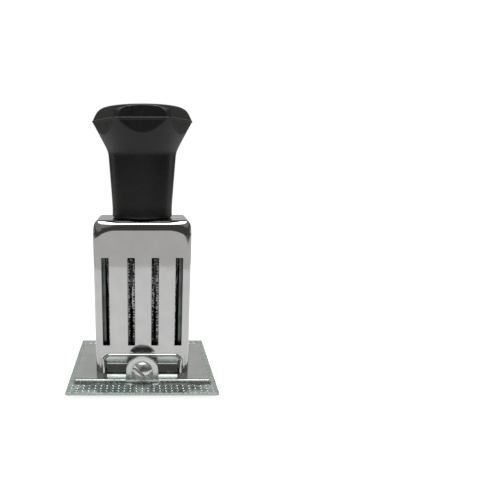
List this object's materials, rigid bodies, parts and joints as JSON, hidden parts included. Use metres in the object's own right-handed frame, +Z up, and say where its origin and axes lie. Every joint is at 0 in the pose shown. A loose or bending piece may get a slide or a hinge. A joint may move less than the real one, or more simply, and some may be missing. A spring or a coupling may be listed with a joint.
{
  "type": "date stamp",
  "caption": "hand date stamp with type belts inside a slotted chrome shell on a square die plate, and a black six-sided handle",
  "frame": {"origin": "centre of the printing row at the type faces", "axes": "+X along the row of type, -Y to the front with the slots, +Z up to the handle"},
  "size_m": [0.06, 0.06, 0.11],
  "materials": {
    "zinc_plate": "bright zinc plate",
    "zinc_sheet": "smooth zinc plate",
    "screw_nickel": "nickel plate",
    "turned_steel": "turned",
    "chrome_shell": "polished chrome plate",
    "frame_steel": "zinc plate",
    "anvil_zinc": "cast",
    "spring_steel": "oiled",
    "roller_plastic": "moulded",
    "disc_steel": "bright",
    "belt_rubber": "matt",
    "type_metal": "cast",
    "handle_black": "satin moulding",
    "insert_brass": "turned"
  },
  "bodies": {
    "stamp_body": {"die_plate": "zinc_plate", "saddle_plate": "zinc_sheet", "lug_screws": "screw_nickel", "standoffs": "turned_steel", "front_shell": "chrome_shell", "rear_shell": "chrome_shell", "band_frame": "frame_steel", "front_strap": "frame_steel", "rear_strap": "frame_steel", "anvil_bar": "anvil_zinc", "anvil_rods": "turned_steel", "roller_axle": "turned_steel", "axle_rings": "spring_steel", "day_belt": "belt_rubber", "day_type": "type_metal", "month_belt": "belt_rubber", "month_type": "type_metal", "year_belt": "belt_rubber", "year_type": "type_metal", "handle": "handle_black", "handle_insert": "insert_brass", "handle_stud": "turned_steel"},
    "day_drive": {"day_roller": "roller_plastic", "day_discs": "disc_steel"},
    "month_drive": {"month_roller": "roller_plastic", "month_discs": "disc_steel"},
    "year_drive": {"year_roller": "roller_plastic", "year_discs": "disc_steel"}
  },
  "joints": [
    {"name": "day_set", "type": "hinge", "parent": "stamp_body", "child": "day_drive", "pos_m": [0, 0, 0.05022], "axis": [1, 0, 0], "continuous": true},
    {"name": "month_set", "type": "hinge", "parent": "stamp_body", "child": "month_drive", "pos_m": [0, 0, 0.05022], "axis": [1, 0, 0], "continuous": true},
    {"name": "year_set", "type": "hinge", "parent": "stamp_body", "child": "year_drive", "pos_m": [0, 0, 0.05022], "axis": [1, 0, 0], "continuous": true}
  ]
}
